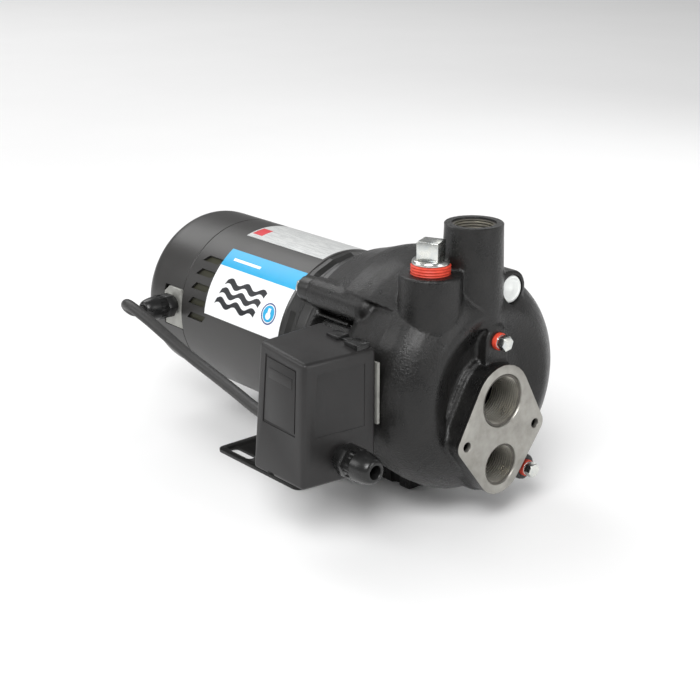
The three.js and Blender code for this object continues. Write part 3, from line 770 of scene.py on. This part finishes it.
def casing_crown():
    """The volute's raised top between the two upper bolt arms."""
    line = [(54, 84.3), (64, 87), (76, 90.6), (88, 94.6), (98, 97), (112, 98.2), (126, 97.4),
            (140, 94.9), (154, 91.3)]
    bm = bmesh.new()
    rings = []
    for x, radius in line:
        ring = [bm.verts.new((x, 0, 20))]
        for i in range(33):
            a = math.radians(46 + 88 * i / 32)
            ring.append(bm.verts.new((x, radius * math.cos(a), radius * math.sin(a))))
        rings.append(ring)
    for one, two in zip(rings, rings[1:]):
        bridge(bm, one, two)
    bm.faces.new(rings[0])
    bm.faces.new(rings[-1])
    bmesh.ops.recalc_face_normals(bm, faces=bm.faces)
    return bm


def flange_outline(grow=0.0):
    return outline_around([
        (FLANGE_BOLT_Y, -FLANGE_BOLT_DROP, 9.5 + grow),
        (0, -SUCTION_DROP, 29 + grow),
        (-FLANGE_BOLT_Y, -FLANGE_BOLT_DROP, 9.5 + grow),
        (0, -DRIVE_DROP, 24.6 + grow),
    ])


def casing_parts():
    arm = [(54, 0), (54, ARM_R), (114, ARM_R), (120, 11.2), (124, 8.5), (126.5, 4.5), (127.3, 0)]
    parts = [about_axis(casing_drum()), about_axis(casing_crown())]
    parts += [on_circle(revolve(arm, 48), degrees) for degrees in EAR_ANGLES]
    parts += [
        about_axis(prism(flange_outline(), FLANGE_BACK, FLANGE_X - 1.2)),
        about_axis(prism(flange_outline(3.0), FLANGE_BACK, 190)),
        moved(upright(revolve([(AXIS_Z + 50, 0), (AXIS_Z + 50, 25), (AXIS_Z + 84, 24.2),
                               (DISCHARGE_TOP - 1, DISCHARGE_R), (DISCHARGE_TOP - 1, 0)], 96)),
              DISCHARGE_X),
        moved(upright(rod(AXIS_Z + 40, AXIS_Z + PRIMING_RISE, PRIMING_R, 96)), PRIMING.x, PRIMING.y),
        about_axis(moved(rod(135, REGULATOR_FACE, REGULATOR_R, 64), y=REGULATOR_Y, z=REGULATOR_Z)),
        about_axis(moved(turned(rod(-30, 0, 14.2, 64), "Z", 48), 176.5, REGULATOR_Y - 4, REGULATOR_Z)),
        about_axis(moved(rod(170, GAUGE_FACE, GAUGE_R, 64), y=GAUGE_Y, z=GAUGE_Z)),
        about_axis(block(176, GAUGE_FACE, GAUGE_Y - GAUGE_R, GAUGE_Y + GAUGE_R, 0, GAUGE_Z)),
        about_axis(moved(rod(150, DRAIN_FACE, DRAIN_R, 64), y=DRAIN_Y, z=DRAIN_Z)),
        block(82.8, 118.2, -13.8, 13.8, 0.4, AXIS_Z - 60),
    ]
    for degrees in (146, 160, 174):
        rib = block(60, 98, 60, 78, -1.6, 1.6)
        parts.append(about_axis(turned(rib, "X", degrees)))
    return parts


def casing_cutters():
    hollow = revolve([(50, 0), (50, 66), (65.3, 66), (65.3, 61), (104, 61), (112, 70), (122, 78),
                      (150, 80), (162, 80), (170, 77), (176, 68), (178, 60), (178, 0)], 96)
    tools = [about_axis(hollow)]
    tools += [
        about_axis(moved(rod(150, 215, SUCTION_BORE + 1.9, 96), z=-SUCTION_DROP)),
        about_axis(moved(rod(160, 215, DRIVE_BORE + 1.6, 96), z=-DRIVE_DROP)),
        moved(upright(rod(AXIS_Z + 60, AXIS_Z + 140, DISCHARGE_BORE + 1.6, 96)), DISCHARGE_X),
        moved(upright(rod(AXIS_Z + 55, AXIS_Z + 110, PRIMING_BORE, 96)), PRIMING.x, PRIMING.y),
        about_axis(moved(rod(172, 200, REGULATOR_BORE, 64), y=REGULATOR_Y, z=REGULATOR_Z)),
        about_axis(moved(rod(180, 210, PLUG_BORE, 48), y=GAUGE_Y, z=GAUGE_Z)),
        about_axis(moved(rod(177, 210, PLUG_BORE, 48), y=DRAIN_Y, z=DRAIN_Z)),
    ]
    switch_low, switch_high = node_box("switch_diaphragm")
    x, z = (switch_low.x + switch_high.x) / 2, (switch_low.z + switch_high.z) / 2
    tools.append(moved(sideways(rod(-switch_high.y - 0.3, 110, 23.5, 64)), x, 0, z))
    tools.append(moved(sideways(rod(66, 92, 7.1, 32)), x, 0, z))
    for side in (-1, 1):
        notch = upright(rod(-5, 16, FOOT_NOTCH_R, 32))
        tools.append(moved(notch, FOOT_NOTCH_X, side * FOOT_NOTCH_Y))
        tools.append(about_axis(moved(rod(188, 215, FLANGE_BOLT_R + 0.4, 32),
                                      y=side * FLANGE_BOLT_Y, z=-FLANGE_BOLT_DROP)))
    tools += [on_circle(rod(50, 78, BOLT_HOLE_R, 32), degrees) for degrees in EAR_ANGLES]
    return tools


def make_casing():
    casing = make("pump_casing_cast", together(*casing_parts()))
    melt(casing, 1.3, 6)
    cut(casing, *casing_cutters())
    dress(casing, cast_iron, replaces=["pump_casing"], angle=50)


def thread_profile(x0, x1, crest, root, back):
    """A threaded liner's section: flat bottomed grooves from x0 inwards, with a plain back."""
    points = []
    x = x0
    while x > x1 + THREAD_PITCH:
        points += [(x, crest), (x - 0.25 * THREAD_PITCH, crest)]
        points += [(x - 0.5 * THREAD_PITCH, root), (x - 0.8 * THREAD_PITCH, root)]
        x -= THREAD_PITCH
    return points + [(x, crest), (x1, crest), (x1, back), (x0, back), points[0]]


def darken_roots(liner, centre, root):
    """Paints shade on the bottoms of the grooves round an axis, with a dark material."""
    liner.data.materials.append(thread_shadow)
    for face in liner.data.polygons:
        offset = face.center / MM - Vector(centre)
        radius = math.hypot(offset.y, offset.z) if centre[0] == 0 else math.hypot(offset.x, offset.y)
        face.material_index = int(root - 0.5 < radius < root + 0.05)


def make_port_threads():
    ports = {
        "suction_thread": (FLANGE_X - 1.4, 29, SUCTION_BORE, (0, 0, AXIS_Z - SUCTION_DROP)),
        "drive_thread": (FLANGE_X - 1.4, 25, DRIVE_BORE, (0, 0, AXIS_Z - DRIVE_DROP)),
        "discharge_thread": (DISCHARGE_TOP - 1.4, 26, DISCHARGE_BORE, (DISCHARGE_X, 0, 0)),
    }
    for name, (start, length, bore, centre) in ports.items():
        crest = bore - 0.2
        root = crest + THREAD_DEPTH
        section = thread_profile(start, start - length, crest, root, bore + 1.5)
        bm = revolve(section, 112)
        bm = moved(upright(bm) if centre[0] else bm, *centre)
        liner = dress(make(name, bm), thread_iron, angle=25)
        darken_roots(liner, centre, root)
    throat = make("suction_throat", about_axis(moved(
        tube(112.4, FLANGE_X - 30.3, 24.9, SUCTION_BORE, 96), z=-SUCTION_DROP)))
    dress(throat, cast_iron)


def port_mouth(bore, mouth, drop, segments):
    """Cuts one port, with its countersunk mouth, through the machined face."""
    section = [(FLANGE_X - 6, 0), (FLANGE_X - 6, bore), (FLANGE_X - 1.6, bore),
               (FLANGE_X + 1, mouth), (FLANGE_X + 1, 0)]
    return about_axis(moved(revolve(section, segments), z=-drop))


def blacken_edge(piece):
    """Gives the flange's outer edge the casting's black, and leaves the ports' walls bare."""
    piece.data.materials.append(cast_iron)
    for face in piece.data.polygons:
        y, z = face.center.y / MM, face.center.z / MM - AXIS_Z
        past_suction = math.hypot(y, z + SUCTION_DROP) - SUCTION_MOUTH
        past_drive = math.hypot(y, z + DRIVE_DROP) - DRIVE_MOUTH
        outside = min(past_suction, past_drive) > 1.5 and abs(face.normal.x) < 0.3
        at_bolt = abs(abs(y) - FLANGE_BOLT_Y) < 5 and abs(z + FLANGE_BOLT_DROP) < 5
        face.material_index = int(outside and not at_bolt)


def make_flange_face():
    """The machined plate at the flange's front, with its ports and two tapped holes."""
    face = make("flange_face_machined", about_axis(prism(flange_outline(), FLANGE_X - 4, FLANGE_X)))
    mouths = [
        port_mouth(SUCTION_BORE + 1.7, SUCTION_MOUTH + 0.4, SUCTION_DROP, 128),
        port_mouth(DRIVE_BORE + 1.5, DRIVE_MOUTH + 0.4, DRIVE_DROP, 112),
    ]
    for side in (-1, 1):
        hole = rod(FLANGE_X - 8, FLANGE_X + 2, FLANGE_BOLT_R, 48)
        mouths.append(about_axis(moved(hole, y=side * FLANGE_BOLT_Y, z=-FLANGE_BOLT_DROP)))
    cut(face, *mouths)
    soften(face, 0.35)
    dress(face, machined, angle=30)
    blacken_edge(face)


def make_discharge_rim():
    top, bore = DISCHARGE_TOP, DISCHARGE_BORE + 1.5
    section = [(top - 3, DISCHARGE_R + 0.02), (top - 0.6, DISCHARGE_R), (top, DISCHARGE_R - 0.6),
               (top, DISCHARGE_MOUTH + 0.3), (top - 1.5, bore), (top - 3, bore),
               (top - 3, DISCHARGE_R + 0.02)]
    rim = make("discharge_rim_machined", moved(upright(revolve(section, 128)), DISCHARGE_X))
    dress(rim, cast_iron, angle=30)


# ------------------------------------------------------------------------ plugs
def make_priming_plug():
    low, high = PRIMING_LOW, PRIMING_HIGH
    side = 17.3
    square = polygon(4, side / math.sqrt(2), math.radians(70))
    head = prism(square, high.z - 14.6, high.z)
    collar = revolve([(high.z - 18, 0), (high.z - 18, 14.6), (high.z - 16.4, 14.8),
                      (high.z - 14.4, 13.6), (high.z - 14.4, 0)], 96)
    body = rod(low.z, high.z - 17.8, 14.1, 96)
    plug = make("priming_plug_square", moved(upright(together(head, collar, body)),
                                             PRIMING.x, PRIMING.y))
    soften(plug, 0.8, 3)
    dress(plug, zinc, body="priming_plug", replaces=["priming_plug"])
    ring_low, ring_high = node_box("priming_plug_sealant")
    section = [(ring_high.z, 14.25)]
    turns = 7
    step = (ring_high.z - ring_low.z) / turns
    for i in range(turns):
        z = ring_high.z - i * step
        section += [(z - step * 0.05, 14.6), (z - step * 0.5, 15.5), (z - step * 0.95, 14.6)]
    section += [(ring_low.z, 14.25), (ring_high.z, 14.25)]
    ring = make("priming_plug_sealant_wound", moved(upright(revolve(section, 96)),
                                                    PRIMING.x, PRIMING.y))
    dress(ring, red_sealant, body="priming_plug",
          replaces=["priming_plug_sealant"], angle=60)


def make_hex_plug(name):
    low, high = node_box(name)
    y, z = (low.y + high.y) / 2, (low.z + high.z) / 2
    head = prism(polygon(6, 6.4, math.radians(8)), high.x - 6.5, high.x)
    body = revolve([(low.x, 0), (low.x, 5.8), (high.x - 6.6, 5.9), (high.x - 6.4, 0)], 48)
    plug = make(f"{name}_hex", moved(together(head, body), y=y, z=z))
    soften(plug, 0.7, 3)
    dress(plug, zinc, body=name, replaces=[name])
    seal_low, seal_high = node_box(f"{name}_sealant")
    section = [(seal_low.x, 6.0)]
    turns = 6
    step = (seal_high.x - seal_low.x) / turns
    for i in range(turns):
        x = seal_low.x + i * step
        section += [(x + step * 0.2, 6.6), (x + step * 0.5, 6.9), (x + step * 0.8, 6.6)]
    section += [(seal_high.x, 6.0), (seal_low.x, 6.0)]
    ring = make(f"{name}_sealant_wound", moved(revolve(section, 48), y=y, z=z))
    dress(ring, red_sealant, body=name, replaces=[f"{name}_sealant"], angle=60)


def make_regulator_cap():
    low, high = node_box("regulator_port_cap")
    y, z = (low.y + high.y) / 2, (low.z + high.z) / 2
    cap = make("regulator_cap_moulded", moved(revolve([
        (low.x, 0), (low.x, 11.1), (high.x - 0.9, 11.1), (high.x - 0.2, 10.6), (high.x, 10),
        (high.x, 8.8), (high.x - 0.5, 8.4), (high.x - 0.5, 2.4), (high.x - 0.1, 1.8),
        (high.x - 0.1, 0)], 72), y=y, z=z))
    dress(cap, white_plastic, body="regulator_cap",
          replaces=["regulator_port_cap"], angle=40)


# --------------------------------------------------------------- switch and lead
def cover_corners(inset, back):
    """The cover's corners: its open back, then its flat front, which leans back."""
    front = node_box("switch_cover")[0].y + inset
    bottom, lean = AXIS_Z - 49, 6 / 102
    corners = [
        (101.6 + inset, back, bottom - 3 + inset), (166.6 - inset, back, bottom - 3 + inset),
        (166.6 - inset, back, AXIS_Z + 48 - inset), (101.6 + inset, back, AXIS_Z + 53 - inset),
    ]
    for x, z in ((104 + inset, bottom + inset), (164 - inset, bottom + inset),
                 (160.9 - inset, AXIS_Z + 47.6 - inset), (107.6 + inset, AXIS_Z + 53 - inset)):
        corners.append((x, front + lean * (z - bottom), z))
    return corners


def slab(corners, u0, u1, v0, v1, inner, outer):
    """A block over part of a face, from its corners round from bottom left."""
    a, b, c, d = [Vector(p) for p in corners]
    normal = (b - a).cross(d - a).normalized()

    def spot(u, v, push):
        return a.lerp(b, u).lerp(d.lerp(c, u), v) + normal * push

    places = [(u0, v0), (u1, v0), (u1, v1), (u0, v1)]
    return hexahedron([spot(u, v, inner) for u, v in places] + [spot(u, v, outer) for u, v in places])


def make_switch_cover():
    corners = cover_corners(0, -95)
    cover = make("switch_cover_moulded", hexahedron(corners))
    soften(cover, 3.2, 4, angle=20)
    front = [corners[4], corners[5], corners[6], corners[7]]
    side = [corners[5], corners[1], corners[2], corners[6]]
    recesses = [
        hexahedron(cover_corners(2.4, -90)),
        slab(front, 0.15, 0.83, 0.40, 0.93, -0.8, 4),
        slab(side, 0.18, 0.84, 0.40, 0.90, -0.7, 4),
        slab(front, 0.30, 0.42, -0.05, 0.03, -4, 4),
    ]
    for recess in recesses:
        cut(cover, recess)
    soften(cover, 0.3, 2, angle=40)
    panel = make("switch_cover_panel", together(
        slab(front, 0.175, 0.805, 0.42, 0.91, -1.8, -0.25),
        slab(front, 0.24, 0.74, 0.76, 0.84, -1.2, 0.15)))
    soften(panel, 0.25)
    latch = make("switch_cover_latch", together(
        block(148, 163, -111, -98, AXIS_Z + 43, AXIS_Z + 52.4),
        block(138, 148.5, -106.5, -98, AXIS_Z + 44, AXIS_Z + 51.5),
        block(126, 139, -110, -98, AXIS_Z + 45, AXIS_Z + 53.2)))
    soften(latch, 0.6, 2)
    dress(cover, switch_plastic, replaces=["switch_cover"])
    dress(panel, switch_plastic)
    dress(latch, gland_plastic)


def make_gland(prefix, direction):
    """A cable gland: a flanged hexagon, a ribbed nut and its dome, round its own axis."""
    body_low, body_high = node_box(f"{prefix}_gland_body")
    dome_low, dome_high = node_box(f"{prefix}_gland_dome")
    if direction == "-Y":
        centre = ((dome_low.x + dome_high.x) / 2, (dome_low.z + dome_high.z) / 2)
        inner, seat, joint, end = -body_high.y, -body_low.y, -dome_high.y, -dome_low.y
        size = (dome_high.x - dome_low.x) / 2
    else:
        centre = ((dome_low.y + dome_high.y) / 2, (dome_low.z + dome_high.z) / 2)
        size = (dome_high.y - dome_low.y) / 2
        if direction == "+X":
            inner, seat, joint, end = body_low.x, body_high.x, dome_low.x, dome_high.x
        else:
            inner, seat, joint, end = -body_high.x, -body_low.x, -dome_high.x, -dome_low.x
    wall = joint + 0.1
    span = end - wall
    hole = 5.2
    body = [tube(inner, seat - 0.4, size * 0.62, hole, 64),
            prism(polygon(6, size * 0.99), wall - span * 0.42, wall - 0.4)]
    nut_end = wall + span * 0.34
    dome = [(nut_end - 0.6, hole), (nut_end - 0.6, size * 0.93)]
    for i in range(9):
        t = i / 8
        dome.append((nut_end + (end - nut_end) * math.sin(t * math.pi / 2) * 0.995,
                     size * (0.93 - 0.39 * (1 - math.cos(t * math.pi / 2)))))
    dome += [(end, hole + 0.4), (end - 0.8, hole), (nut_end - 0.6, hole)]
    ribs = []
    for degrees in range(15, 360, 30):
        rib = block(wall + 1, nut_end - 1, size * 0.80, size * 0.925, -0.9, 0.9)
        ribs.append(turned(rib, "X", degrees))
    nut = [prism(polygon(6, size * 0.98), wall, nut_end), revolve(dome, 72), *ribs]

    def put(bm):
        if direction == "-Y":
            return moved(sideways(bm), centre[0], 0, centre[1])
        if direction == "-X":
            return moved(turned(bm, "Z", 180), 0, centre[0], centre[1])
        return moved(bm, 0, centre[0], centre[1])

    lower = make(f"{prefix}_gland_hexagon", put(together(*body)))
    soften(lower, 0.6)
    dress(lower, gland_plastic, replaces=[f"{prefix}_gland_body"])
    upper = make(f"{prefix}_gland_nut", put(together(*nut)))
    cut(upper, put(rod(wall - 5, end + 5, hole, 64)))
    soften(upper, 0.45)
    dress(upper, gland_plastic, replaces=[f"{prefix}_gland_dome"])


# ------------------------------------------------------------------------- foot
def slot_outline(across, start, length, radius, steps=12):
    """A slot with round ends, as (across, along) points."""
    points = []
    for along, first in ((start, math.pi), (start + length, 0.0)):
        for i in range(steps + 1):
            a = first + math.pi * i / steps
            points.append((across + radius * math.cos(a), along + radius * math.sin(a)))
    return points


def make_base_plate():
    low, high = PLATE_LOW, PLATE_HIGH
    outline = rounded_rectangle((high.y - low.y) / 2, (high.x - low.x) / 2, 7)
    plate = make("base_plate_pressed", upright(prism(outline, low.z, high.z)))
    holes = []
    for side in (-1, 1):
        for start in (-44, 22):
            holes.append(upright(prism(slot_outline(side * 75, start, 22, 4.5), -5, 10)))
        holes.append(moved(upright(rod(-5, 10, 4.2, 32)), 22, side * 48))
    cut(plate, *holes)
    soften(plate, 0.5, 2)
    dress(plate, enamel, replaces=["base_plate"])


make_camera()
make_studio()
finish_cad_nodes()
make_lead()
make_motor_shell()
make_rear_cap()
make_terminal_plate()
make_labels()
make_mounting_ring()
for bolt_name in ("ring_bolt_1", "ring_bolt_2", "ring_bolt_3", "ring_bolt_4"):
    make_hex_bolt(bolt_name)
make_casing()
make_port_threads()
make_flange_face()
make_discharge_rim()
make_priming_plug()
make_hex_plug("gauge_plug")
make_hex_plug("drain_plug")
make_regulator_cap()
make_switch_cover()
make_gland("motor", "-Y")
make_gland("switch", "+X")
make_gland("lead", "-X")
make_base_plate()
